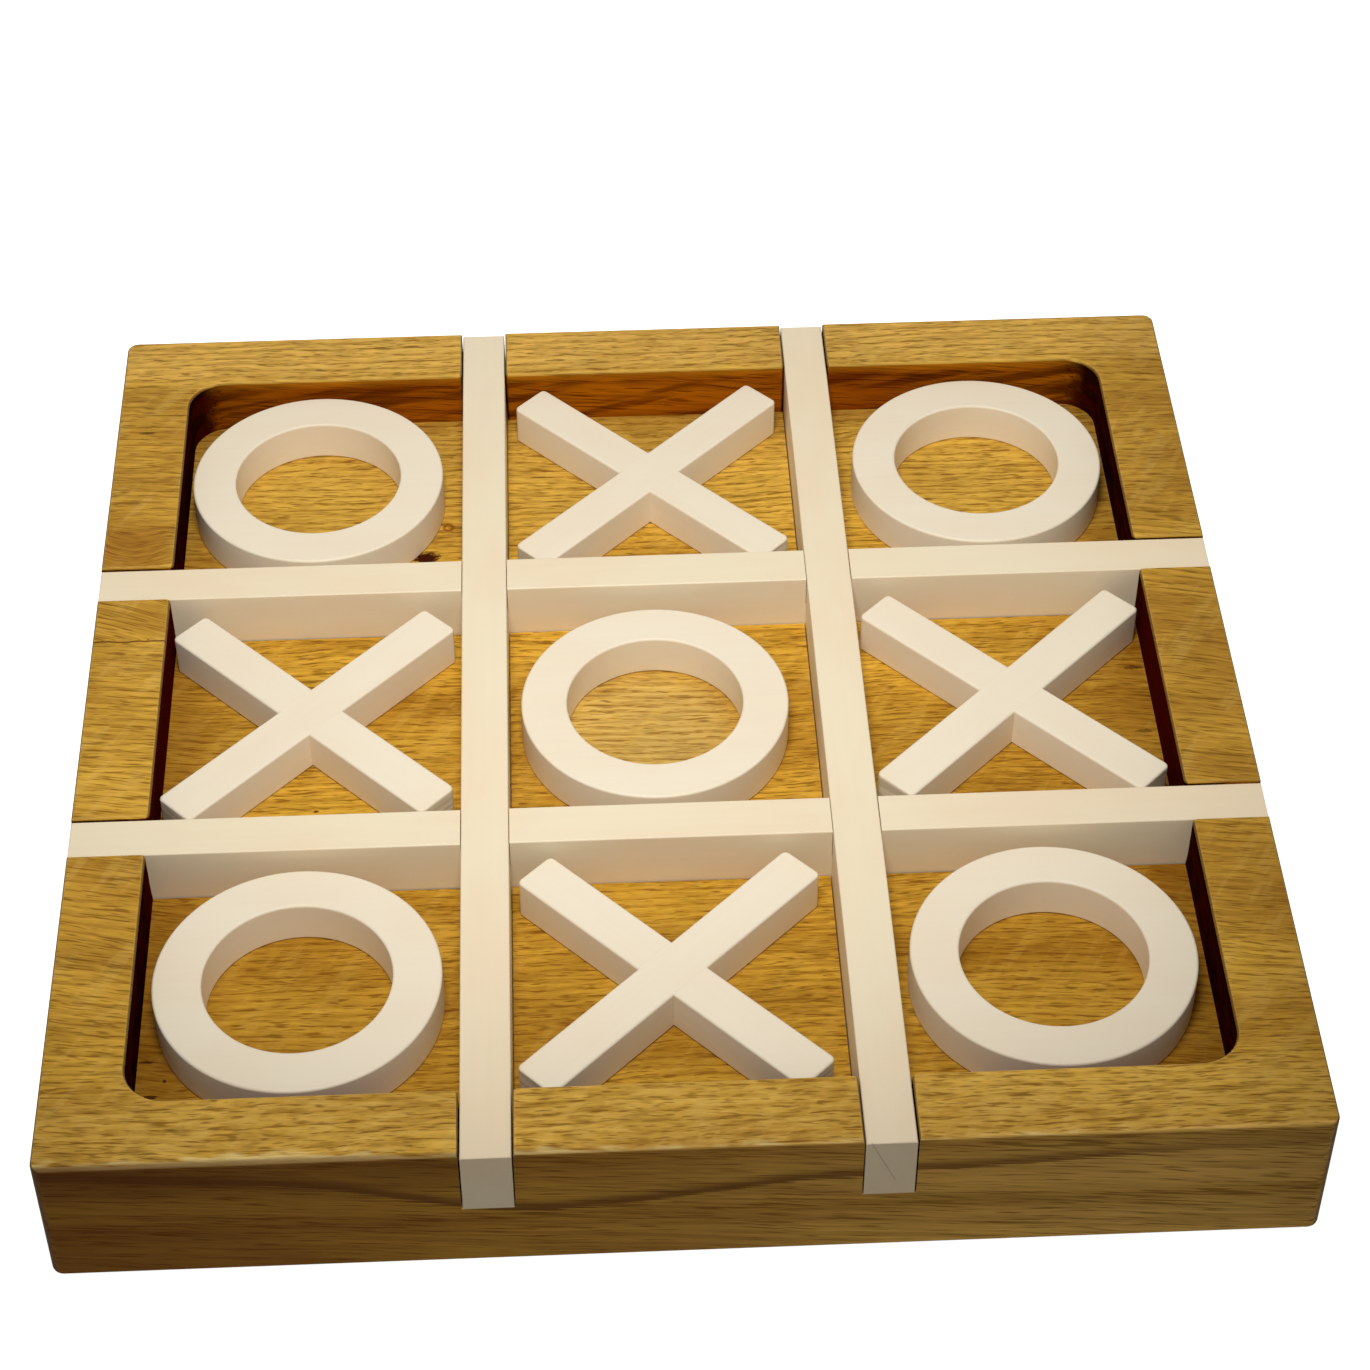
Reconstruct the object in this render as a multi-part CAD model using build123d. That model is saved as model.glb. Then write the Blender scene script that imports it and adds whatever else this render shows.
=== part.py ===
from build123d import *
from math import sqrt
import os

# Tic-tac-toe board: a milled oak block, a grid of four lapped bars, five rings and four crosses.
# The origin is the centre of the base, +Z is up and -Y is the front. All sizes are in millimetres.

# Block
board_side = 300.0
board_thickness = 40.0
rim_width = 19.5
pocket_depth = 17.0
pocket_corner = 10.0  # radius that the cutter leaves in the pocket's corners
board_corner = 3.0  # upright outer corners
mouth_round = 1.2  # upright edges where a slot opens into the pocket
rim_arris = 0.9  # every edge round the top of the rim
base_arris = 1.0  # edge round the base

# Grid bars
bar_width = 12.0
centre_cell = 81.0  # clear width between the two bars of a pair
grid_drop = 1.0  # how far the top of the bars lies below the rim
groove_depth = 3.0  # how far the bars sink below the pocket's floor
slot_clearance = 0.3  # at each side of a bar in its slot
lap_clearance = 0.15  # at each side of a bar in another bar's notch
bar_arris = 0.4

# Playing pieces
piece_thickness = 12.0
ring_wall = 12.0
ring_play = 4.0  # free space round a ring in the smallest cell
arm_width = 12.0
cross_play = 1.2  # free space round a cross in the smallest cell
cross_lap_clearance = 0.05  # at each side of the upper bar in the lower bar's notch
tip_round = 1.5  # upright edges at the ends of a cross
piece_chamfer = 0.6  # small bevel round the upper and lower edges of a piece

# How each piece was put down: column, row, share of its free play in x and in y, turn in degrees
ring_lies = {
    "back_left": (-1, 1, -0.42, 0.48, 0),
    "back_right": (1, 1, 0.20, 0.38, 0),
    "centre": (0, 0, -0.38, 0.05, 0),
    "front_left": (-1, -1, -0.10, 0.20, 0),
    "front_right": (1, -1, -0.05, 0.15, 0),
}
cross_lies = {
    "back": (0, 1, -0.10, 0.22, -0.2),
    "left": (-1, 0, -0.45, 0.12, 0.1),
    "right": (1, 0, -0.05, 0.10, -0.4),
    "front": (0, -1, -0.50, -0.15, -0.6),
}

# Heights and sizes that follow from those above
pocket_side = board_side - 2 * rim_width
floor_z = board_thickness - pocket_depth
bar_height = pocket_depth - grid_drop + groove_depth
bar_z = floor_z - groove_depth
lap_z = bar_z + bar_height / 2  # where the halves of two crossing bars meet
slot_width = bar_width + 2 * slot_clearance
slot_depth = board_thickness - bar_z
bar_offset = (centre_cell + bar_width) / 2
outer_cell = (pocket_side - centre_cell) / 2 - bar_width
outer_offset = (centre_cell + outer_cell) / 2 + bar_width
smallest_cell = min(centre_cell, outer_cell)
ring_diameter = smallest_cell - 2 * ring_play
cross_span = smallest_cell - 2 * cross_play
arm_length = sqrt(2) * cross_span - arm_width

same = 0.01  # how closely an edge lies to a line that it is picked by
upwards = (Align.CENTER, Align.CENTER, Align.MIN)
downwards = (Align.CENTER, Align.CENTER, Align.MAX)


# Upright edges of the block where the side of a slot meets the wall of the pocket
def is_mouth(edge):
    near, far = sorted((abs(edge.center().X), abs(edge.center().Y)))
    on_wall = abs(far - pocket_side / 2) < same
    on_slot = abs(abs(near - bar_offset) - slot_width / 2) < same
    return on_wall and on_slot


# Oak block with its pocket, and for each bar a slot through both rims and into the floor
def make_board():
    block = extrude(RectangleRounded(board_side, board_side, board_corner), board_thickness)
    block = fillet(block.faces().sort_by(Axis.Z)[0].edges(), base_arris)
    pocket = extrude(RectangleRounded(pocket_side, pocket_side, pocket_corner), pocket_depth)
    block -= Pos(Z=floor_z) * pocket
    slot = Box(slot_width, board_side + rim_width, slot_depth, align=upwards)
    for side in (-1, 1):
        block -= Pos(X=side * bar_offset, Z=bar_z) * slot
        block -= Pos(Y=side * bar_offset, Z=bar_z) * Rot(Z=90) * slot
    block = fillet(block.edges().filter_by(Axis.Z).filter_by(is_mouth), mouth_round)
    return fillet(block.faces().group_by(Axis.Z)[-1].edges(), rim_arris)


# Bar along Y with its upper edges eased and a halving notch, from below or from above, at each crossing
def make_grid_bar(notched_below):
    bar = Box(bar_width, board_side, bar_height, align=upwards)
    bar = Pos(Z=bar_z) * fillet(bar.edges().group_by(Axis.Z)[-1], bar_arris)
    notch_width = bar_width + 2 * lap_clearance
    notch = Box(2 * bar_width, notch_width, bar_height, align=downwards if notched_below else upwards)
    for side in (-1, 1):
        bar -= Pos(Y=side * bar_offset, Z=lap_z) * notch
    return bar


# Ring turned from one bevelled section, lying on z = 0
def make_ring():
    section = Rectangle(ring_wall, piece_thickness)
    section = chamfer(section.vertices(), piece_chamfer)
    middle = Pos((ring_diameter - ring_wall) / 2, piece_thickness / 2)
    return revolve(Plane.XZ * middle * section, Axis.Z)


# One arm of a cross from end to end, left square, at an angle from +X
def make_arm(angle):
    return Rot(Z=angle) * Box(arm_length, arm_width, piece_thickness, align=upwards)


# Whole cross with rounded ends, its outline bevelled above and below as it is after glue-up
def make_cross_form():
    form = make_arm(45) + make_arm(-45)
    tips = form.edges().filter_by(Axis.Z).sort_by(SortBy.DISTANCE)[-8:]
    form = fillet(tips, tip_round)
    levels = form.edges().group_by(Axis.Z)
    return chamfer(levels[0] + levels[-1], piece_chamfer)


# The two halved bars of a cross: the upper one is notched below, the lower one above
def make_cross():
    form = make_cross_form()
    notch_width = arm_width + 2 * cross_lap_clearance
    notch = Rot(Z=45) * Box(notch_width, notch_width, piece_thickness, align=upwards)
    upper = (form & make_arm(45)) - Pos(Z=-piece_thickness / 2) * notch
    lower = (form & make_arm(-45)) - Pos(Z=piece_thickness / 2) * notch
    return {"upper": upper, "lower": lower}


# Place of a piece: the centre of its cell, plus its share of the free play there
def lay(column, row, share_x, share_y, turn, span):
    place = []
    for index, share in ((column, share_x), (row, share_y)):
        cell = outer_cell if index else centre_cell
        place.append(index * outer_offset + share * (cell - span) / 2)
    return Pos(*place, floor_z) * Rot(Z=turn)


def make_parts():
    parts = {"board": make_board()}
    for name, side in (("left", -1), ("right", 1)):
        parts["grid_bar_" + name] = Pos(X=side * bar_offset) * make_grid_bar(notched_below=True)
    for name, side in (("front", -1), ("back", 1)):
        parts["grid_bar_" + name] = Pos(Y=side * bar_offset) * Rot(Z=90) * make_grid_bar(notched_below=False)
    for name, lie in ring_lies.items():
        parts["ring_" + name] = lay(*lie, ring_diameter) * make_ring()
    for name, lie in cross_lies.items():
        for half, bar in make_cross().items():
            parts["cross_" + name + "_" + half] = lay(*lie, cross_span) * bar
    return parts


os.makedirs("parts", exist_ok=True)
for node, solid in make_parts().items():
    export_step(solid, "parts/" + node + ".step")
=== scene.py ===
from math import radians

import bmesh
import bpy
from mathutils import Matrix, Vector


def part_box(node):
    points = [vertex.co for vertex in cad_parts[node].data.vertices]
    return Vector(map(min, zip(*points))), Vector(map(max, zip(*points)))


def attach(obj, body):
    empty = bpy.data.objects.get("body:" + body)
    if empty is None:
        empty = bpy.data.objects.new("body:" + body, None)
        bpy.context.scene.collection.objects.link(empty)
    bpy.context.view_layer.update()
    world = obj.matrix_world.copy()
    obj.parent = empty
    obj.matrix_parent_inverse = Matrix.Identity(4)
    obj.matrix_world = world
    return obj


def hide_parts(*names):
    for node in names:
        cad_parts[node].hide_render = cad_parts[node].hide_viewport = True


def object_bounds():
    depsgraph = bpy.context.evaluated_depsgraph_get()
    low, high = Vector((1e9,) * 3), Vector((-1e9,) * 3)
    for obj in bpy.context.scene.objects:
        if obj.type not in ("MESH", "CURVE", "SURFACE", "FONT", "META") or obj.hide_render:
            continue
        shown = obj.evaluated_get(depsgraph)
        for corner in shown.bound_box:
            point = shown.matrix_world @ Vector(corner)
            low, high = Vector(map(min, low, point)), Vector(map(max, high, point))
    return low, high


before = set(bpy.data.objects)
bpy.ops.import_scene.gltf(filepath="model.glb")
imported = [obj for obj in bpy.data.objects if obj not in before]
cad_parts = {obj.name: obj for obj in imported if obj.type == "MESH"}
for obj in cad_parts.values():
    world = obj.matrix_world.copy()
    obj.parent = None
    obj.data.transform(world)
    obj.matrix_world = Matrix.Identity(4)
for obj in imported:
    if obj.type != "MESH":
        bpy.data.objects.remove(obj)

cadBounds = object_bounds()
mm = 0.001
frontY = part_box("board")[0].y / mm
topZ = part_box("board")[1].z / mm
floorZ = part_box("ring_centre")[0].z / mm  # loose pieces lie on the pocket's floor
onFront = (frontY + 2, frontY + 0.5)  # Y where what lies on the front face sets in and is full

# Tic-tac-toe game: oiled oak block with a milled pocket, four painted bars lapped into a grid, and
# loose painted rings and crosses. Sizes are in millimetres where they are set, metres in the meshes.


# Helpers

def toLinear(hexColour):  # sRGB hex to the linear colour that a shader wants
    channels = [int(hexColour[i:i + 2], 16) / 255 for i in (0, 2, 4)]
    return (*[c / 12.92 if c <= 0.04045 else ((c + 0.055) / 1.055) ** 2.4 for c in channels], 1.0)


def grey(level):
    return (level, level, level, 1)


# A node with its settings and links. A setting goes to the input of that name or number, else to the node.
def addNode(tree, kind, settings={}, links={}):
    node = tree.nodes.new("ShaderNode" + kind)
    for name, value in settings.items():
        if name == "stops":  # colour ramp: pairs of place and colour
            while len(node.color_ramp.elements) < len(value):
                node.color_ramp.elements.new(0.5)
            for element, (place, colour) in zip(node.color_ramp.elements, value):
                element.position = place
                element.color = colour if isinstance(colour, tuple) else toLinear(colour)
        elif isinstance(name, int) or name in node.inputs:
            node.inputs[name].default_value = value
        else:
            setattr(node, name, value)
    for name, source in links.items():
        output = source if isinstance(source, bpy.types.NodeSocket) else source.outputs[0]
        tree.links.new(output, node.inputs[name])
    return node


def newMaterial(name):
    material = bpy.data.materials.new(name)
    material.use_nodes = True
    material.node_tree.nodes.clear()
    return material, material.node_tree


def objectMode(part=None):  # out of edit mode, with this piece alone selected, or nothing
    if bpy.context.mode != "OBJECT":
        bpy.ops.object.mode_set(mode="OBJECT")
    bpy.ops.object.select_all(action="DESELECT")
    if part:
        part.select_set(True)
        bpy.context.view_layer.objects.active = part


def editOnly(part):  # this piece alone in edit mode, with nothing picked
    objectMode(part)
    bpy.ops.object.mode_set(mode="EDIT")
    bpy.ops.mesh.select_all(action="DESELECT")


def isUpright(a, b):  # an edge by its two ends in mm
    return abs(a.z - b.z) > 1


def pickEdges(part, test):  # test gets the two ends in mm
    editOnly(part)
    bpy.ops.mesh.select_mode(type="EDGE")
    shape = bmesh.from_edit_mesh(part.data)
    for edge in shape.edges:
        edge.select_set(test(edge.verts[0].co / mm, edge.verts[1].co / mm))
    shape.select_flush(False)
    bmesh.update_edit_mesh(part.data)


def pickFaces(part, test):  # test gets the centre in mm and the normal
    editOnly(part)
    bpy.ops.mesh.select_mode(type="FACE")
    shape = bmesh.from_edit_mesh(part.data)
    for face in shape.faces:
        face.select_set(test(face.calc_center_median() / mm, face.normal))
    bmesh.update_edit_mesh(part.data)


def addBlock(name, middle, size):  # a box by its middle and size in mm, with its place in the mesh
    objectMode()
    bpy.ops.mesh.primitive_cube_add(size=1, location=Vector(middle) * mm, scale=Vector(size) * mm)
    part = bpy.context.object
    part.name = name
    bpy.ops.object.transform_apply(location=True, rotation=True, scale=True)
    return part


def applyModifier(part, kind, **settings):
    objectMode(part)
    modifier = part.modifiers.new(kind.title(), kind)
    for name, value in settings.items():
        setattr(modifier, name, value)
    bpy.ops.object.modifier_apply(modifier=modifier.name)


def cutWith(part, *cutters, operation="DIFFERENCE"):
    for cutter in cutters:
        applyModifier(part, "BOOLEAN", object=cutter, operation=operation, solver="EXACT")
        bpy.data.objects.remove(cutter)


def bevelPicked(width, segments):
    bpy.ops.mesh.bevel(offset=width * mm, segments=segments, affect="EDGES", clamp_overlap=False)


def finishShape(part, smoothAngle=35):  # welded, normals outwards, flat faces kept flat beside the bevels
    editOnly(part)
    bpy.ops.mesh.select_all(action="SELECT")
    bpy.ops.mesh.remove_doubles(threshold=0.002 * mm)
    bpy.ops.mesh.normals_make_consistent(inside=False)
    objectMode(part)
    bpy.ops.object.shade_smooth_by_angle(angle=radians(smoothAngle))
    applyModifier(part, "WEIGHTED_NORMAL", keep_sharp=True, weight=100)


def placeCopy(part, name, middle, turn=0.0):  # a copy with its own mesh, moved and turned inside it
    objectMode(part)
    bpy.ops.object.duplicate(linked=False)
    copy = bpy.context.object
    copy.name = name
    copy.location = Vector(middle) * mm
    copy.rotation_euler.z = radians(turn)
    bpy.ops.object.transform_apply(location=True, rotation=True, scale=True)
    return copy


def hand(part, body, node, slot, *materials):  # gives a finished piece to the frame
    part.data.materials.clear()
    for material in materials:
        part.data.materials.append(material)
    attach(part, body)
    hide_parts(node)


def middleOf(*nodes):  # middle of one or more CAD nodes, in mm
    corners = [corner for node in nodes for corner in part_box(node)]
    low = Vector([min(c[i] for c in corners) for i in range(3)])
    high = Vector([max(c[i] for c in corners) for i in range(3)])
    return (low + high) / 2 / mm


# Camera, light and stage

view = {
    "place": (-20.66, -609.3, 639.27),
    "tilt": (45.522, 0.088, -2.570),
    "lens": 86.24,
    "sensor": 36,
}
light = {
    "lampPlace": (-35, -250, 641),
    "lampAim": (-10, 94, 39),
    "lampRadius": 90,
    "lampPower": 13.8,
    "lampCone": 59.0,
    "room": 0.34,  # what reaches the object from all round
    "roomTint": "FFFAF3",
}
sheet = {  # the floor
    "side": 8000,
    "gap": 0.05,  # between the sheet and the base
    "bounce": "5A5248",  # the colour that the object gets back from it
    "white": 0.9,  # the level that the camera and reflections get
    "glow": 0.86,  # added for the camera alone
}

tilt = [radians(angle) for angle in view["tilt"]]
bpy.ops.object.camera_add(location=Vector(view["place"]) * mm, rotation=tilt)
camera = bpy.context.object
camera.data.lens = view["lens"]
camera.data.sensor_width = view["sensor"]
bpy.context.scene.camera = camera
bpy.context.scene.view_settings.view_transform = "Standard"


def makeLamp():  # one soft studio lamp, high in front of the board, aimed behind its middle
    place = Vector(light["lampPlace"]) * mm
    bpy.ops.object.light_add(type="SPOT", location=place)
    lamp = bpy.context.object
    lamp.data.energy = light["lampPower"]
    lamp.data.shadow_soft_size = light["lampRadius"] * mm
    lamp.data.spot_size = radians(light["lampCone"])
    lamp.data.spot_blend = 1.0
    lamp.rotation_euler = (Vector(light["lampAim"]) * mm - place).to_track_quat("-Z", "Y").to_euler()


def whiteRays(tree):  # 1 for what the camera sees straight, in a reflection or through glass, else 0
    path = addNode(tree, "LightPath")
    seen = path.outputs["Is Camera Ray"]
    for ray in ("Is Glossy Ray", "Is Transmission Ray"):
        seen = addNode(tree, "Math", {"operation": "MAXIMUM"}, {0: seen, 1: path.outputs[ray]})
    return seen


def makeRoom():  # soft light from all round, plain white to the camera and in reflections
    world = bpy.data.worlds.new("white room")
    world.use_nodes = True
    bpy.context.scene.world = world
    tree = world.node_tree
    tree.nodes.clear()
    seen = whiteRays(tree)
    level = addNode(tree, "MapRange", {"To Min": light["room"], "To Max": 1.0}, {"Value": seen})
    tint = addNode(tree, "MixRGB", {"Color1": toLinear(light["roomTint"]), "Color2": grey(1)}, {"Fac": seen})
    background = addNode(tree, "Background", {}, {"Color": tint, "Strength": level})
    addNode(tree, "OutputWorld", {}, {"Surface": background})


def makeFloor():
    objectMode()
    height = cadBounds[0].z - sheet["gap"] * mm
    bpy.ops.mesh.primitive_plane_add(size=sheet["side"] * mm, location=(0, 0, height))
    floor = bpy.context.object
    floor.name = "floor"
    bpy.ops.object.transform_apply(location=True, rotation=True, scale=True)
    material, tree = newMaterial("white sheet")  # matt paper: white to the eye, little light thrown back
    colour = addNode(tree, "MixRGB", {"Color1": toLinear(sheet["bounce"]), "Color2": grey(sheet["white"])},
                     {"Fac": whiteRays(tree)})
    matt = addNode(tree, "BsdfDiffuse", {}, {"Color": colour})
    seen = addNode(tree, "LightPath").outputs["Is Camera Ray"]
    glowLevel = addNode(tree, "Math", {"operation": "MULTIPLY", 1: sheet["glow"]}, {0: seen})
    glow = addNode(tree, "Emission", {"Color": grey(1)}, {"Strength": glowLevel})
    both = addNode(tree, "AddShader", {}, {0: matt, 1: glow})
    addNode(tree, "OutputMaterial", {}, {"Surface": both})
    floor.data.materials.append(material)


makeLamp()
makeRoom()
makeFloor()
print("stage: camera, lamp, room and floor are set")


# Oak

oak = {
    "lean": (7.0, -5.5, 0.0),  # degrees that the growth rings lean and that the grain dips to the right
    "ringWidth": 2.7,  # one year's growth
    "year": ((0.0, 0.5), (0.12, 1.0), (0.4, 0.25), (0.8, 0.0), (1.0, 0.4)),  # how dark it is through the year
    "waves": {  # patches along X, Y and Z, and how far they push the grain about
        "slow": ((150, 55, 55), (0, 13, 7)),
        "quick": ((26, 8, 8), (0, 2.0, 1.6)),
    },
    "waveDetail": 1.5,
    "patterns": {  # size of the patches along X, Y and Z, and the detail in them
        "tone": ((80, 18, 18), 3.0),  # paler and darker wood
        "lines": ((110, 1.2, 1.2), 2.0),  # long fine lines, a few to a year
        "fibres": ((22, 0.5, 0.5), 3.0),  # finer in real wood, drawn so that they show
        "pores": ((13, 0.5, 0.5), 1.0),  # 0.3 mm wide in real oak, drawn so that they show
        "lumps": ((9.0, 1.5, 1.5), 1.5),  # short ends of fibre where the grain runs out of the top; darker partly as painted shade
        "patches": ((55, 30, 30), 1.0),  # where the lumps gather
        "crumbs": ((1.1, 0.5, 0.5), 1.0),  # ragged edges of small marks
    },
    "levels": {  # where a pattern sets in, where it is full, and the share of its colour there
        "pores": (0.56, 0.72, 1.0),
        "lines": (0.48, 0.60, 0.4),
        "patches": (0.42, 0.60, 0.7),
        "lumps": (0.52, 0.68, 0.36),
        "bumpHighlights": (0.50, 0.32, 0.36),  # painted highlight on the raised places between the lumps of the front rim
        "flecks": (0.50, 0.64, 0.24),
    },
    "tones": (0.3, 0.62),  # levels of the tone pattern where the wood is dark and where it is pale
    "fibreShade": (0.35, 0.65, 0.88, 1.1),  # two levels of the fibres, and how bright the wood is there
    "ringShare": 0.52,  # how much darker the rings are at most
    "earlyPores": 0.09,  # how much the rings add to the level of the pores
    "ribbons": (22, 4.0, 22),  # ray flecks: pale bands over the top
    "ribbonTurn": 58.0,  # degrees between them and the grain
    "rough": (0.48, 0.68),  # of the fibres, and in the pores
    "bump": (0.4, 0.15),  # strength and depth
    "curl": (-144, 57, topZ),  # where the grain bends round a hidden knot on the left rim
    "curlPush": 6.5,
    "curlReach": (15.0, 2.0),  # distances where the bend sets in and is full
    "curlShade": (17.0, 6.0),  # the same for its brown
    "check": {  # drying crack over the left rim
        "innerEnd": -130.4,  # in X
        "at": 23.4,  # in Y
        "waves": (7, 90, 90),  # size of its bends
        "wander": 2.2,  # how far they push it
    },
    # X and Z of a dark wave on the front, from the left corner to the right one
    "streak": ((-150, 37), (-135, 36), (-80, 29.5), (-38, 19.5), (18, 26), (46, 28.6), (150, 33.6)),
    "streakPush": (3.0, 4.0),  # how far the patches and the fibres stir it
    "streakFade": (260, 20),  # X where it would be gone, and where it starts to fade
    "sweeps": (  # X beyond which the grain slants to the front right, how steeply, and Y where that sets in
        (122, 0.15, (-128, -95)),
        (-122, 0.15, (-128, -95)),
        (-124, 0.22, (22.5, 24.5)),  # steeper behind the check
    ),
    "sweepEnd": (78, 52),  # Y where all of them have faded, and where that starts
    "frontRim": (-127, -133),  # Y where its lumps set in and are full
    "worn": (6.4, 4.6),  # distances from the front face where its wear sets in and is full
    "wornPush": 5.0,  # what each of two patterns takes off them at most
    "wornSlope": 0.008,  # how much wider the wear gets per mm to the left
    "marks": (  # place, reach and strength of small dark marks
        ((-54.5, 84.0, floorZ), (3.5, 0.9, 1), 0.4),
        ((-63.2, 71.6, floorZ), (4.6, 2.8, 1), 1.0),  # painted shadow on the floor beside the back left ring
        ((-90.6, -24.4, floorZ), (0.8, 0.6, 1), 0.9),
        ((-128.4, -105.5, floorZ), (2.1, 0.5, 1), 0.85),  # torn grain
        ((-123.7, -111.4, floorZ), (0.7, 0.6, 1), 0.9),
        ((-126.7, -116.2, floorZ), (2.1, 0.7, 1), 0.9),
        ((127.2, 18.9, floorZ), (3.4, 1.0, 1), 0.6),
        ((127.0, -5.1, floorZ), (3.0, 0.9, 1), 0.6),
        ((-141.6, 109.0, topZ), (3.0, 0.5, 1), 0.75),
        ((-4.1, 35.4, floorZ), (1.6, 1.2, 1), 0.5),
    ),
    "markEdge": 1.2,  # how ragged their edges are, as a share of their reach
    "pinKnot": ((-57.2, 84.0, floorZ), 1.2, 0.8),  # place, radius and width of a small brown ring
    "middle": (-4, 0, floorZ),  # of the painted bounce light on the floor, and of the darkest stretch of the side walls
    "tints": {
        "curl": "8A4E0C",
        "worn": "F2DC98",
        "streak": "5C3206",
        "check": "5A2C04",
        "pinKnot": "8A4204",
        "gloss": "F0B860",
    },
}
burnsAndFootShade = {  # on the pocket's walls: where each burn and the painted foot shade set in, where they are full, and their share
    # painted shade along the walls' foot, where they meet the floor
    "foot": (floorZ + 3, floorZ - 1, 0.4),
    "corners": (112, 132, 0.85),  # to the left and right of the middle
    "streaks": (0.50, 0.72, 0.65),  # levels of the char pattern
    "sideWalls": (143, 135, 0.75),  # distances from the middle of the painted bounce light on the floor
    "cornerLevels": (0.42, 0.7),
    "streakTop": (topZ - 1, topZ - 5),
    "sideWallBack": (60, 50),
    "charSize": (36, 6, 3.2),
    "charClimb": 12.0,  # degrees that the streaks climb to the right
    "charSpread": 0.0011,  # how much their level grows per mm from the middle
    "charTint": "4A1000",
    "sideWallTint": "4C0C02",
}


def addPatterns(tree, place, patterns):  # a noise for each pattern, its patches as large as given in mm
    noises = {}
    for name, (size, detail) in patterns.items():
        spot = addNode(tree, "VectorMath", {"operation": "DIVIDE", 1: size}, {0: place})
        noises[name] = addNode(tree, "TexNoise", {"Scale": 1.0, "Detail": detail}, {"Vector": spot})
    return noises


# The product of its parts: other masks, or values with the levels where they set in and are full
def makeMask(tree, *parts, share=1.0):
    mask = None
    for part in parts:
        if isinstance(part, tuple):
            value, start, full = part
            part = addNode(tree, "MapRange", {"interpolation_type": "SMOOTHSTEP", "From Min": start,
                                              "From Max": full, "To Max": share}, {"Value": value})
            share = 1.0
        mask = addNode(tree, "Math", {"operation": "MULTIPLY"}, {0: mask, 1: part}) if mask else part
    return mask


# The same from a value, the levels where it sets in and is full, and its share there
def levelMask(tree, levels, value, *others, strength=1.0):
    start, full, share = levels
    return makeMask(tree, (value, start, full), *others, share=share * strength)


# Waves in the grain, its bend round the curl and its slant at the ends of the board
def bendGrain(tree, leaning, axes, onTop, inCurl):
    place = leaning
    onSide = addNode(tree, "Math", {"operation": "SUBTRACT", 0: 1.0}, {1: onTop})
    # Each face is pushed along itself only, so that its fibres stay long
    ways = addNode(tree, "CombineXYZ", {}, {"Y": onTop, "Z": onSide})
    for size, push in oak["waves"].values():
        noise = addPatterns(tree, place, {"wave": (size, oak["waveDetail"])})["wave"]
        centred = [-p / 2 for p in push]
        step = addNode(tree, "VectorMath", {"operation": "MULTIPLY_ADD", 1: push, 2: centred},
                       {0: noise.outputs["Color"]})
        step = addNode(tree, "VectorMath", {"operation": "MULTIPLY"}, {0: step, 1: ways})
        place = addNode(tree, "VectorMath", {"operation": "ADD"}, {0: place, 1: step})
    aside = addNode(tree, "Math", {"operation": "MULTIPLY", 1: oak["curlPush"]}, {0: inCurl})
    for start, slope, span in oak["sweeps"]:
        beyond = addNode(tree, "Math", {"operation": "SUBTRACT", 1: start}, {0: axes["X"]})
        outwards = "MAXIMUM" if start > 0 else "MINIMUM"
        beyond = addNode(tree, "Math", {"operation": outwards, 1: 0.0}, {0: beyond})
        sweep = makeMask(tree, (axes["Y"], *span), (axes["Y"], *oak["sweepEnd"]), beyond, share=slope)
        aside = addNode(tree, "Math", {"operation": "ADD"}, {0: aside, 1: sweep})
    aside = addNode(tree, "Math", {"operation": "MULTIPLY"}, {0: aside, 1: onTop})
    step = addNode(tree, "CombineXYZ", {}, {"Y": aside})
    return addNode(tree, "VectorMath", {"operation": "ADD"}, {0: place, 1: step})


def ringShade(tree, wood):  # dark early wood at the start of each year
    axes = addNode(tree, "SeparateXYZ", {}, {"Vector": wood})
    years = addNode(tree, "Math", {"operation": "DIVIDE", 1: oak["ringWidth"]}, {0: axes.outputs["Y"]})
    season = addNode(tree, "Math", {"operation": "FRACT"}, {0: years})
    stops = [(place, grey(level)) for place, level in oak["year"]]
    return addNode(tree, "ValToRGB", {"stops": stops}, {"Fac": season})


def frontStreak(tree, axes, patches, fibres):  # a dark wave along the front that fades to the right
    left, right = oak["streak"][0][0], oak["streak"][-1][0]
    along = addNode(tree, "MapRange", {"From Min": left, "From Max": right}, {"Value": axes["X"]})
    stops = [((x - left) / (right - left), grey(z / topZ)) for x, z in oak["streak"]]
    path = addNode(tree, "ValToRGB", {"stops": stops}, {"Fac": along})
    path.color_ramp.interpolation = "CARDINAL"
    centred = -sum(oak["streakPush"]) / 2
    height = addNode(tree, "Math", {"operation": "MULTIPLY_ADD", 1: topZ, 2: centred}, {0: path})
    for noise, push in zip((patches, fibres), oak["streakPush"]):
        height = addNode(tree, "Math", {"operation": "MULTIPLY_ADD", 1: push}, {0: noise, 2: height})
    away = addNode(tree, "Math", {"operation": "SUBTRACT"}, {0: axes["Z"], 1: height})
    # Sharper along its foot than above
    return makeMask(tree, (away, -1.6, -0.4), (away, 4.0, 0.2), (axes["X"], *oak["streakFade"]),
                    (axes["Y"], *onFront), share=0.8)


def checkLine(tree, axes, inMm):  # a hair-fine drying crack, drawn about 0.5 mm wide so that it shows
    check = oak["check"]
    push = check["wander"]
    noise = addPatterns(tree, inMm, {"wander": (check["waves"], 2.0)})["wander"]
    wander = addNode(tree, "Math", {"operation": "MULTIPLY_ADD", 1: push}, {0: noise, 2: axes["Y"]})
    away = addNode(tree, "Math", {"operation": "SUBTRACT", 1: check["at"] + push / 2}, {0: wander})
    off = addNode(tree, "Math", {"operation": "ABSOLUTE"}, {0: away})
    onRim = (axes["X"], check["innerEnd"] + 1, check["innerEnd"])
    return makeMask(tree, (off, 0.4, 0.12), onRim, (axes["Z"], topZ - 3, topZ - 1), share=0.9)


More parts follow.
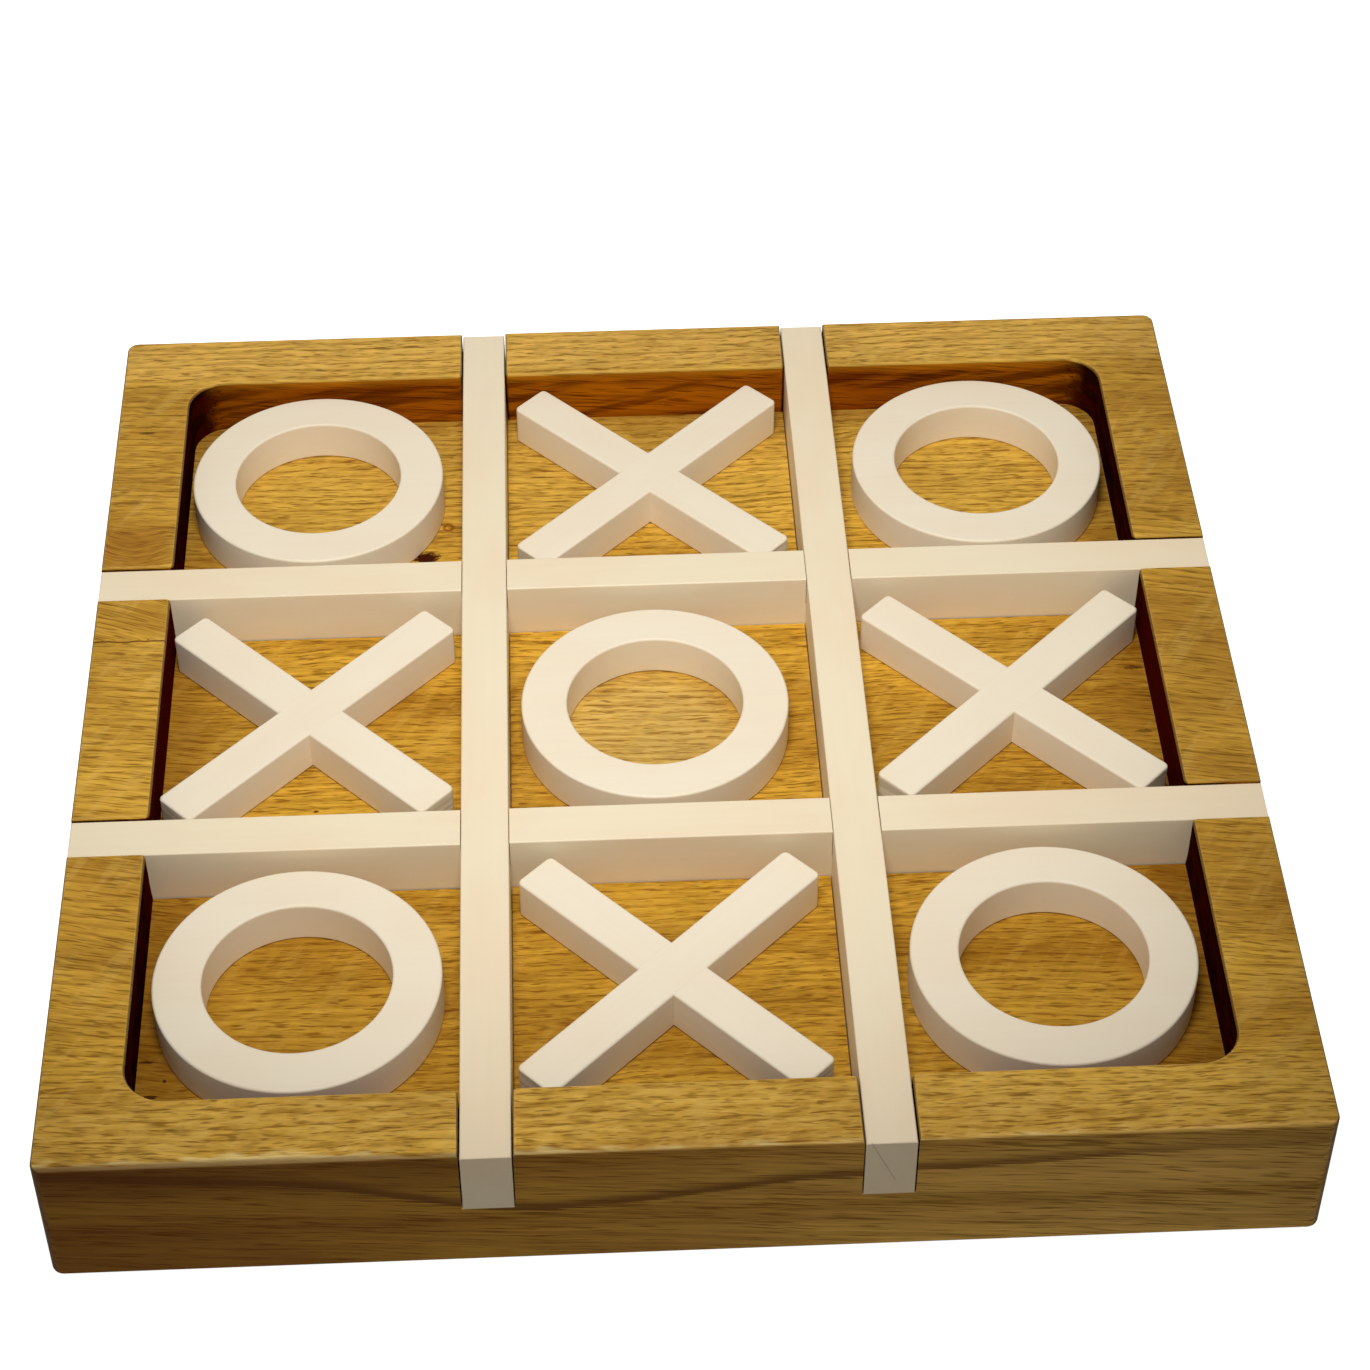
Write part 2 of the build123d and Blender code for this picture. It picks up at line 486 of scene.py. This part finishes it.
def darkMarks(tree, inMm, crumbs):  # knots, specks, torn grain and one painted shadow, each an ellipse with a ragged edge
    edge = oak["markEdge"]
    ragged = addNode(tree, "Math", {"operation": "MULTIPLY_ADD", 1: edge, 2: -edge / 2}, {0: crumbs})
    total = None
    for place, reach, strength in oak["marks"]:
        offset = addNode(tree, "VectorMath", {"operation": "SUBTRACT", 1: place}, {0: inMm})
        scaled = addNode(tree, "VectorMath", {"operation": "DIVIDE", 1: reach}, {0: offset})
        distance = addNode(tree, "VectorMath", {"operation": "LENGTH"}, {0: scaled})
        rim = addNode(tree, "Math", {"operation": "ADD"}, {0: distance.outputs["Value"], 1: ragged})
        mark = makeMask(tree, (rim, 1.0, 0.55), share=strength)
        total = addNode(tree, "Math", {"operation": "MAXIMUM"}, {0: total, 1: mark}) if total else mark
    return total


def pinKnot(tree, inMm):  # a small ring, the trace of a thin twig
    place, radius, width = oak["pinKnot"]
    distance = addNode(tree, "VectorMath", {"operation": "DISTANCE", 1: place}, {0: inMm})
    fromRing = addNode(tree, "Math", {"operation": "SUBTRACT", 1: radius}, {0: distance.outputs["Value"]})
    off = addNode(tree, "Math", {"operation": "ABSOLUTE"}, {0: fromRing})
    return makeMask(tree, (off, width, 0.1), share=0.75)


# Each tint with its share: slopes along the axes or from the middle, and how strong it is
def placedTints(tree, values, tints):
    layers = []
    for slopes, tint, strength in tints:
        parts = [(values[way], *slope) for way, slope in slopes.items()]
        layers.append((tint, makeMask(tree, *parts, share=strength)))
    return layers


def wornEdge(tree, axes, noises, topFace):  # the front rim's outer edge, worn pale, widest at the left
    level = addNode(tree, "Math", {"operation": "MULTIPLY_ADD", 1: oak["wornSlope"]},
                    {0: axes["X"], 2: axes["Y"]})
    for pattern in ("lumps", "patches"):
        level = addNode(tree, "Math", {"operation": "MULTIPLY_ADD", 1: oak["wornPush"]},
                        {0: noises[pattern], 2: level})
    start, full = [frontY + distance for distance in oak["worn"]]
    return makeMask(tree, (level, start, full), (topFace, 0.25, 0.6), share=0.7)


# What the cutter burnt: the corners and streaks. Also a painted shade along the walls' foot, and the middle
# of the side walls less dark and redder
def burnAndFootShadeLayers(tree, values, inMm, darkest):
    climb = (0, radians(burnsAndFootShade["charClimb"]), 0)
    climbing = addNode(tree, "Mapping", {"Rotation": climb}, {"Vector": inMm})
    chars = addPatterns(tree, climbing, {"chars": (burnsAndFootShade["charSize"], 2.0)})["chars"]
    aside = addNode(tree, "Math", {"operation": "ABSOLUTE"}, {0: values["X"]})
    spread = burnsAndFootShade["charSpread"]
    level = addNode(tree, "Math", {"operation": "MULTIPLY_ADD", 1: spread}, {0: aside, 2: chars})
    foot = levelMask(tree, burnsAndFootShade["foot"], values["Z"])
    corners = levelMask(tree, burnsAndFootShade["corners"], aside, (level, *burnsAndFootShade["cornerLevels"]))
    streaks = levelMask(tree, burnsAndFootShade["streaks"], level, (values["Z"], *burnsAndFootShade["streakTop"]))
    middles = levelMask(tree, burnsAndFootShade["sideWalls"], values["middle"], (values["Y"], *burnsAndFootShade["sideWallBack"]))
    tinted = [(burnsAndFootShade["charTint"], streaks), (burnsAndFootShade["sideWallTint"], middles)]
    return [(darkest, foot), (darkest, corners)] + tinted


def makeOak(name, finish, withBurnAndFootShade=False):
    material, tree = newMaterial(name)
    where = addNode(tree, "TexCoord")
    inMm = addNode(tree, "Mapping", {"Scale": (1000, 1000, 1000)}, {"Vector": where.outputs["Object"]})
    lean = [radians(angle) for angle in oak["lean"]]
    leaning = addNode(tree, "Mapping", {"Rotation": lean}, {"Vector": inMm})
    axes = addNode(tree, "SeparateXYZ", {}, {"Vector": inMm}).outputs
    facing = addNode(tree, "SeparateXYZ", {}, {"Vector": where.outputs["Normal"]}).outputs
    endFace = addNode(tree, "Math", {"operation": "ABSOLUTE"}, {0: facing["X"]})
    topFace = addNode(tree, "Math", {"operation": "ABSOLUTE"}, {0: facing["Z"]})
    onTop = makeMask(tree, (topFace, 0.55, 0.75))
    toCurl = addNode(tree, "VectorMath", {"operation": "DISTANCE", 1: oak["curl"]}, {0: inMm})
    fromCurl = toCurl.outputs["Value"]
    inCurl = makeMask(tree, (fromCurl, *oak["curlReach"]))
    toMiddle = addNode(tree, "VectorMath", {"operation": "DISTANCE", 1: oak["middle"]}, {0: inMm})
    values = {"X": axes["X"], "Y": axes["Y"], "Z": axes["Z"], "middle": toMiddle.outputs["Value"]}

    wood = bendGrain(tree, leaning, axes, onTop, inCurl)
    noises = addPatterns(tree, wood, oak["patterns"])
    years = ringShade(tree, wood)
    turned = addNode(tree, "Mapping", {"Rotation": (0, 0, -radians(oak["ribbonTurn"]))}, {"Vector": leaning})
    ribbons = addPatterns(tree, turned, {"ribbons": (oak["ribbons"], 2.0)})["ribbons"]

    # Pores are denser in early wood, and lumps come in patches on the top and all over the front rim
    levels, poreShare = oak["levels"], finish["poreShare"]
    early = addNode(tree, "Math", {"operation": "MULTIPLY_ADD", 1: oak["earlyPores"]},
                    {0: years, 2: noises["pores"]})
    pores = levelMask(tree, levels["pores"], early, strength=poreShare)
    onFrontRim = makeMask(tree, (axes["Y"], *oak["frontRim"]), (axes["Z"], topZ - 2, topZ - 1))
    offFrontRim = addNode(tree, "Math", {"operation": "SUBTRACT", 0: 1.0}, {1: onFrontRim})
    lines = levelMask(tree, levels["lines"], noises["lines"], offFrontRim, strength=poreShare)
    patches = levelMask(tree, levels["patches"], noises["patches"])
    lumpy = addNode(tree, "Math", {"operation": "MAXIMUM"}, {0: patches, 1: onFrontRim})
    # The lumps' dark colour is partly painted shade of their relief, the pale bumps between them a painted
    # highlight
    lumps = levelMask(tree, levels["lumps"], noises["lumps"], lumpy, onTop)
    bumpHighlights = levelMask(tree, levels["bumpHighlights"], noises["lumps"], onFrontRim, onTop)
    flecks = levelMask(tree, levels["flecks"], ribbons, onTop)
    curlShade = makeMask(tree, (fromCurl, *oak["curlShade"]), noises["tone"], share=0.9)
    eased = makeMask(tree, (topFace, 0.1, 0.6), (topFace, 0.99, 0.9), share=0.35)  # edges only
    ringShare = addNode(tree, "Math", {"operation": "MULTIPLY", 1: oak["ringShare"]}, {0: years})

    # From the bottom up: tone, painted light and tones, the grain, painted shade and tones, and what is drawn
    # over them
    darkLevel, paleLevel = oak["tones"]
    tones = [(darkLevel, finish["dark"]), (paleLevel, finish["pale"])]
    colour = addNode(tree, "ValToRGB", {"stops": tones}, {"Fac": noises["tone"]})
    pore, ray, darkest, tints = finish["pore"], finish["ray"], finish["endGrain"], oak["tints"]
    layers = placedTints(tree, values, finish["paintedLightAndTones"])
    layers += [(finish["dark"], ringShare), (pore, lines), (ray, flecks), (ray, bumpHighlights), (pore, lumps)]
    layers += [(pore, pores), (tints["curl"], curlShade), (ray, eased)]
    layers += [(tints["worn"], wornEdge(tree, axes, noises, topFace))]
    layers += placedTints(tree, values, finish["shades"])
    layers += [(tints["streak"], frontStreak(tree, axes, noises["patches"], noises["fibres"]))]
    layers += [(darkest, makeMask(tree, (endFace, 0.3, 0.75), share=finish["endShare"]))]
    if withBurnAndFootShade:
        layers += burnAndFootShadeLayers(tree, values, inMm, darkest)
    layers += [(tints["check"], checkLine(tree, axes, inMm))]
    layers += [(darkest, darkMarks(tree, inMm, noises["crumbs"]))]
    layers += [(tints["pinKnot"], pinKnot(tree, inMm))]
    for tint, share in layers:
        colour = addNode(tree, "MixRGB", {"Color2": toLinear(tint)}, {"Fac": share, "Color1": colour})
    lowLevel, highLevel, dim, bright = oak["fibreShade"]
    fibreRange = {"From Min": lowLevel, "From Max": highLevel, "To Min": dim, "To Max": bright}
    fibreShade = addNode(tree, "MapRange", fibreRange, {"Value": noises["fibres"]})
    colour = addNode(tree, "MixRGB", {"blend_type": "MULTIPLY", "Fac": 1.0},
                     {"Color1": colour, "Color2": fibreShade})

    strength, depth = oak["bump"]
    roughFibres, roughPores = oak["rough"]
    hollows = addNode(tree, "Math", {"operation": "ADD"}, {0: pores, 1: lumps})
    height = addNode(tree, "Math", {"operation": "SUBTRACT"}, {0: noises["fibres"], 1: hollows})
    bump = addNode(tree, "Bump", {"Strength": strength, "Distance": depth * mm}, {"Height": height})
    rough = addNode(tree, "MapRange", {"To Min": roughFibres, "To Max": roughPores}, {"Value": hollows})
    shader = addNode(tree, "BsdfPrincipled", {"IOR": 1.5, "Specular IOR Level": finish["gloss"],
                                              "Specular Tint": toLinear(tints["gloss"])},
                     {"Base Color": colour, "Roughness": rough, "Normal": bump})
    addNode(tree, "OutputMaterial", {}, {"Surface": shader})
    return material


planed = {
    "pale": "DEAD43",
    "dark": "AC7C2A",
    "pore": "6A4208",
    "ray": "DFB860",
    "endGrain": "3A1A06",
    "endShare": 0.7,
    "poreShare": 0.62,
    "gloss": 0.14,
    "paintedLightAndTones": (  # slopes from where each tint sets in to where it is full, under the grain
        # partly the wood's tone, partly painted light: the back rim paler
        ({"Y": (128, 136)}, "F0C060", 0.65),
        # painted light: the front rim's top paler
        ({"Y": (-126, -134), "Z": (topZ - 2, topZ - 1)}, "E6C268", 0.2),
        ({"X": (-90, 140), "Y": onFront}, "F6C66C", 0.76),
    ),
    "shades": (  # the same, over the grain
        ({"X": (110, 150)}, "6A4208", 0.2),
        ({"X": (90, -140), "Y": onFront}, "601400", 0.57),
        ({"X": (-30, -60), "Y": onFront, "Z": (24, 32)}, "4A2004", 0.35),
    ),
}
milled = {
    "pale": "E5B23F",
    "dark": "B07E26",
    "pore": "6A3C04",
    "ray": "E6B850",
    "endGrain": "3A1004",
    "endShare": 0.85,
    "poreShare": 0.64,
    "gloss": 0.14,
    "paintedLightAndTones": (
        # painted light: the floor paler towards the back
        ({"Y": (50, 110)}, "F2CC64", 0.35),
        # painted light: the floor paler inside the middle ring, standing in for the light that the ring's
        # white wall throws back
        ({"middle": (30, 16)}, "FFE088", 0.45),
    ),
    "shades": (
        # painted shade: the floor darker towards the front
        ({"Y": (40, -110)}, "6A3A02", 0.27),
        # painted shade along the foot of the side walls and of the back wall
        ({"X": (-106, -128)}, "7A3A00", 0.4),
        ({"X": (106, 128)}, "7A3A00", 0.4),
        ({"Y": (122, 130)}, "7A3A00", 0.35),
    ),
}
scorched = {
    "pale": "BA6A08",
    "dark": "964A06",
    "pore": "4A1800",
    "ray": "C07A14",
    "endGrain": "1C0200",
    "endShare": 0.97,
    "poreShare": 0.7,
    "gloss": 0.0,
    "paintedLightAndTones": (),
    "shades": (
        ({"Z": (topZ - 4, topZ - 0.5)}, "B8781A", 0.6),
    ),
}
# Oiled European oak, planed: ochre, with pores, flecks and wavy grain
oiledOak = makeOak("oiled oak, planed", planed)
# The same oak where a cutter cleared the pocket: brighter and more golden, with painted light and shade
# across its floor
milledOak = makeOak("oiled oak, milled floor", milled)
# The same oak on the pocket's walls, browned by the hot cutter, with no gloss left, and with painted shade
# along their foot
scorchedOak = makeOak("oiled oak, scorched wall", scorched, withBurnAndFootShade=True)
print("oak: three finishes are made")


# Block

block = {
    "rim": 19.5,
    "pocketDepth": 17.0,
    "pocketCorner": 10.0,
    "corner": 3.0,
    "mouth": 1.2,  # upright edges where a slot opens into the pocket
    "arris": 0.9,
    "baseArris": 1.0,
    "slotWidth": 12.6,
    "slotDepth": 20.0,
    "slotAt": 46.5,  # from the middle of the block to the middle of a slot
    "past": 10.0,  # how far the cutters reach past the block
}
near = 0.05  # how closely an edge or a face lies to what it is picked by


def makeBlock():
    low, high = [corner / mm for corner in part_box("board")]
    size = high - low
    middle = (low + high) / 2
    top, reach = high.z, size.x / 2
    inner = reach - block["rim"]
    pocketZ = top - block["pocketDepth"]
    past = block["past"]
    part = addBlock("oak_board", middle, size)
    pickEdges(part, isUpright)
    bevelPicked(block["corner"], 6)
    pickEdges(part, lambda a, b: max(a.z, b.z) < low.z + near)
    bevelPicked(block["baseArris"], 4)

    pocketHeight = block["pocketDepth"] + past
    pocketMiddle = (0, 0, pocketZ + pocketHeight / 2)
    pocket = addBlock("pocket cutter", pocketMiddle, (2 * inner, 2 * inner, pocketHeight))
    pickEdges(pocket, isUpright)
    bevelPicked(block["pocketCorner"], 14)
    cutWith(part, pocket)
    slotWidth, slotLength = block["slotWidth"], 2 * reach + 2 * past
    slotHeight = block["slotDepth"] + past
    slotZ = top - block["slotDepth"] + slotHeight / 2
    for side in (-1, 1):
        at = side * block["slotAt"]
        cutWith(part, addBlock("slot cutter", (at, 0, slotZ), (slotWidth, slotLength, slotHeight)),
                addBlock("slot cutter", (0, at, slotZ), (slotLength, slotWidth, slotHeight)))

    def isMouth(a, b):  # upright, where the side of a slot meets the wall of the pocket
        across, out = sorted((abs(a.x), abs(a.y)))
        onSlot = abs(abs(across - block["slotAt"]) - slotWidth / 2) < near
        onWall = abs(out - inner) < near and min(a.z, b.z) > pocketZ - near
        return isUpright(a, b) and onSlot and onWall

    pickEdges(part, isMouth)
    bevelPicked(block["mouth"], 4)
    pickEdges(part, lambda a, b: min(a.z, b.z) > top - near)
    bevelPicked(block["arris"], 3)
    finishShape(part)
    return part


def finishPocket(part):  # the pocket's floor and its walls have finishes of their own
    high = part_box("board")[1] / mm
    inner = high.x - block["rim"]
    for face in part.data.polygons:
        at = face.center / mm
        inside = max(abs(at.x), abs(at.y)) < inner + block["mouth"]
        inPocket = inside and at.z < high.z - block["arris"] - near
        if inPocket and face.normal.z > 0.5:
            face.material_index = 1
        elif inPocket and at.z > high.z - block["pocketDepth"]:
            face.material_index = 2


board = makeBlock()
hand(board, "board", "board", "oiled_oak", oiledOak, milledOak, scorchedOak)
finishPocket(board)
print("block: pocket, slots and eased edges are cut")


# Paint

paint = {
    "rough": (0.38, 0.48),  # between the clouds, and in them
    "gloss": 0.22,
    "bump": (0.06, 0.1),  # strength and depth
    "patterns": {  # size of the patches along the grain, across it and up, and the detail in them
        "clouds": ((40, 16, 16), 3.0),
        "streaks": ((60, 1.4, 1.4), 2.0),
        "peel": ((0.8, 0.8, 0.8), 2.0),  # grain of the sprayed coat
        "layers": ((30, 30, 1.3), 1.0),  # of the wood at the ends
    },
    "streakShade": (0.3, 0.7, 0.99, 1.004),  # two levels of the streaks, and how bright the paint is there
    "crack": ((42.2, 38.2), (48.0, 24.6)),  # X and Z of its ends, on the front end of the right bar
    "crackTint": "5A4A38",
    "endTint": "8E7A5C",
    "cream": ("EFE1C2", "EFDCBC"),  # the paint and its clouds
    "warmWhite": ("F1E5CD", "F0E2C8"),
}


def paintCrack(tree, inMm):  # a hair-fine slanting crack, drawn about 0.3 mm wide so that it shows
    axes = addNode(tree, "SeparateXYZ", {}, {"Vector": inMm}).outputs
    (startX, startZ), (endX, endZ) = paint["crack"]
    slope = (endX - startX) / (endZ - startZ)
    path = addNode(tree, "Math", {"operation": "MULTIPLY_ADD", 1: -slope}, {0: axes["Z"], 2: axes["X"]})
    away = addNode(tree, "Math", {"operation": "SUBTRACT", 1: startX - slope * startZ}, {0: path})
    off = addNode(tree, "Math", {"operation": "ABSOLUTE"}, {0: away})
    onEnd = (axes["Y"], frontY + 0.5, frontY + 0.1)
    return makeMask(tree, (off, 0.3, 0.05), onEnd, (axes["Z"], endZ - 1, endZ + 2), share=0.3)


def sawnEnds(tree, where, turn, noises, share):  # thin paint on the ends, with layers of the wood showing
    normal = where.outputs["Normal"]
    facing = addNode(tree, "Mapping", {"Rotation": (0, 0, radians(turn))}, {"Vector": normal})
    axes = addNode(tree, "SeparateXYZ", {}, {"Vector": facing})
    endFace = addNode(tree, "Math", {"operation": "ABSOLUTE"}, {0: axes.outputs["X"]})
    return makeMask(tree, (endFace, 0.8, 0.97), (noises["layers"], 0.42, 0.56), share=share)


def makePaint(name, shade, turn, ends=0.0, cracked=False):  # turn takes a piece's length onto X
    material, tree = newMaterial(name)
    where = addNode(tree, "TexCoord")
    inMm = addNode(tree, "Mapping", {"Scale": (1000, 1000, 1000)}, {"Vector": where.outputs["Object"]})
    along = addNode(tree, "Mapping", {"Rotation": (0, 0, radians(turn))}, {"Vector": inMm})
    noises = addPatterns(tree, along, paint["patterns"])
    base, warm = [toLinear(tint) for tint in paint[shade]]
    clouds = makeMask(tree, (noises["clouds"], 0.38, 0.66))
    colour = addNode(tree, "MixRGB", {"Color1": base, "Color2": warm}, {"Fac": clouds})
    lowLevel, highLevel, dim, bright = paint["streakShade"]
    streakRange = {"From Min": lowLevel, "From Max": highLevel, "To Min": dim, "To Max": bright}
    streakShade = addNode(tree, "MapRange", streakRange, {"Value": noises["streaks"]})
    colour = addNode(tree, "MixRGB", {"blend_type": "MULTIPLY", "Fac": 1.0},
                     {"Color1": colour, "Color2": streakShade})
    layers = []
    if ends:
        layers.append((paint["endTint"], sawnEnds(tree, where, turn, noises, ends)))
    if cracked:
        layers.append((paint["crackTint"], paintCrack(tree, inMm)))
    for tint, share in layers:
        colour = addNode(tree, "MixRGB", {"Color2": toLinear(tint)}, {"Fac": share, "Color1": colour})

    strength, depth = paint["bump"]
    roughPaint, roughClouds = paint["rough"]
    height = addNode(tree, "Math", {"operation": "MULTIPLY_ADD", 1: 0.5},
                     {0: noises["streaks"], 2: noises["peel"]})
    bump = addNode(tree, "Bump", {"Strength": strength, "Distance": depth * mm}, {"Height": height})
    rough = addNode(tree, "MapRange", {"To Min": roughPaint, "To Max": roughClouds},
                    {"Value": noises["clouds"]})
    shader = addNode(tree, "BsdfPrincipled", {"IOR": 1.5, "Specular IOR Level": paint["gloss"]},
                     {"Base Color": colour, "Roughness": rough, "Normal": bump})
    addNode(tree, "OutputMaterial", {}, {"Surface": shader})
    return material


# Satin acrylic paint, sprayed on wood: cream bars with faint warm clouds, and pieces a shade whiter
barAcross = makePaint("satin paint, cream, along X", "cream", turn=0)
barAlong = makePaint("satin paint, cream, along Y", "cream", turn=90, cracked=True)
ringPaint = makePaint("satin paint, warm white, rings", "warmWhite", turn=0)
crossPaints = {}
for turn in (45, -45):
    name = "satin paint, warm white, turned " + str(turn)
    crossPaints[turn] = makePaint(name, "warmWhite", turn, ends=0.3)
print("paint: two shades are made")


# Grid bars

bars = {
    "width": 12.0,
    "arris": 0.4,
    "endArris": 0.25,
    "lapGap": 0.15,  # at each side of a bar in the other's notch
    "cutter": 20.0,  # length and height of the notch cutters
}


def makeBar(name, node, alongY):
    low, high = [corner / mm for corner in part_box(node)]
    size = high - low
    middle = (low + high) / 2
    part = addBlock(name, middle, size)
    pickEdges(part, lambda a, b: min(a.z, b.z) > high.z - near)
    bevelPicked(bars["arris"], 3)
    pickEdges(part, isUpright)
    bevelPicked(bars["endArris"], 2)
    cutter = bars["cutter"]
    notchWidth = bars["width"] + 2 * bars["lapGap"]
    notchZ = middle.z + (-cutter if alongY else cutter) / 2  # the bars along Y run through on top
    for side in (-1, 1):
        at = side * block["slotAt"]
        place = (middle.x, at, notchZ) if alongY else (at, middle.y, notchZ)
        notchSize = (cutter, notchWidth, cutter) if alongY else (notchWidth, cutter, cutter)
        cutWith(part, addBlock("notch cutter", place, notchSize))
    finishShape(part)
    return part


for side in ("left", "right"):
    node = "grid_bar_" + side
    hand(makeBar("painted_bar_" + side, node, True), "board", node, "bar_paint", barAlong)
for side in ("front", "back"):
    node = "grid_bar_" + side
    hand(makeBar("painted_bar_" + side, node, False), "board", node, "bar_paint", barAcross)
print("bars: four lapped bars are in their slots")


# Rings

rings = {
    "wall": 12.0,
    "arris": 0.7,
    "steps": 128,
}


def makeRing():  # spun from one eased section
    low, high = [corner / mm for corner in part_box("ring_centre")]
    outer = (high.x - low.x) / 2
    height = high.z - low.z
    middleRadius = outer - rings["wall"] / 2
    objectMode()
    upright = (radians(90), 0, 0)
    bpy.ops.mesh.primitive_plane_add(size=1, rotation=upright, location=(middleRadius * mm, 0, 0))
    part = bpy.context.object
    part.scale = (rings["wall"] * mm, height * mm, 1)
    bpy.ops.object.transform_apply(location=True, rotation=True, scale=True)
    editOnly(part)
    bpy.ops.mesh.select_all(action="SELECT")
    bpy.ops.mesh.bevel(offset=rings["arris"] * mm, segments=4, affect="VERTICES")
    bpy.ops.mesh.select_all(action="SELECT")
    bpy.ops.mesh.delete(type="ONLY_FACE")
    bpy.ops.mesh.select_all(action="SELECT")
    bpy.ops.mesh.spin(steps=rings["steps"], angle=radians(360), center=(0, 0, 0), axis=(0, 0, 1))
    finishShape(part, smoothAngle=40)
    return part


ringShape = makeRing()
for node in sorted(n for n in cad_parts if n.startswith("ring_")):
    ring = placeCopy(ringShape, "painted_" + node, middleOf(node))
    hand(ring, node, node, "piece_paint", ringPaint)
bpy.data.objects.remove(ringShape)
print("rings: five are turned")


# Crosses

crosses = {
    "length": 94.91,  # of each bar, from end to end
    "arm": 12.0,
    "tip": 1.5,
    "arris": 0.7,
    "seam": 0.015,  # hairline left beside each bar where they cross
    "cutter": 20.0,  # height of the notch cutters
    "past": 2.0,  # how far the blocks that keep one bar reach past it
    "turns": {"back": -0.2, "left": 0.1, "right": -0.4, "front": -0.6},  # degrees off the diagonal
}


def makeCrossForm(height):  # both bars as one shape, with its outline eased
    arm = crosses["arm"]
    reach = crosses["length"] / 2
    part = addBlock("cross form", (0, 0, 0), (arm, arm, height))
    for way in (Vector((1, 0, 0)), Vector((-1, 0, 0)), Vector((0, 1, 0)), Vector((0, -1, 0))):
        pickFaces(part, lambda at, normal: (at - way * arm / 2).length < near)
        bpy.ops.mesh.extrude_region_move(TRANSFORM_OT_translate={"value": way * (reach - arm / 2) * mm})
    pickEdges(part, lambda a, b: isUpright(a, b) and max(abs(a.x), abs(a.y)) > reach - near)
    bevelPicked(crosses["tip"], 5)

    def isOutline(a, b):  # round the top or the base, but not between the arms and the middle
        level = abs(a.z - b.z) < near and abs(abs(a.z) - height / 2) < near
        return level and max(abs(a.x), abs(a.y), abs(b.x), abs(b.y)) > arm / 2 + near

    pickEdges(part, isOutline)
    bevelPicked(crosses["arris"], 3)
    return part


def makeCrossHalf(form, height, upper):  # the upper bar lies along X and is notched below
    arm, seam, cutter, past = [crosses[name] for name in ("arm", "seam", "cutter", "past")]

    def sized(along, across, up):  # by this half's own bar
        return (along, across, up) if upper else (across, along, up)

    half = placeCopy(form, "cross half", (0, 0, 0))
    keepSize = sized(crosses["length"] + 2 * past, arm + 2 * seam, height + 2 * past)
    cutWith(half, addBlock("keeper", (0, 0, 0), keepSize), operation="INTERSECT")
    notchZ = (-cutter if upper else cutter) / 2
    cutWith(half, addBlock("notch cutter", (0, 0, notchZ), sized(arm + 4 * seam, 2 * cutter, cutter)))
    finishShape(half)
    return half


def makeCrosses():
    low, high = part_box("cross_left_upper")
    height = (high.z - low.z) / mm
    form = makeCrossForm(height)
    halves = {"upper": makeCrossHalf(form, height, True), "lower": makeCrossHalf(form, height, False)}
    for side, turn in crosses["turns"].items():
        middle = middleOf("cross_" + side + "_upper", "cross_" + side + "_lower")
        for half, shape in halves.items():
            node = "cross_" + side + "_" + half
            cross = placeCopy(shape, "painted_" + node, middle, 45 + turn)
            hand(cross, "cross_" + side, node, "piece_paint", crossPaints[-45 if half == "upper" else 45])
    for shape in (form, *halves.values()):
        bpy.data.objects.remove(shape)


makeCrosses()
print("crosses: four are halved together")
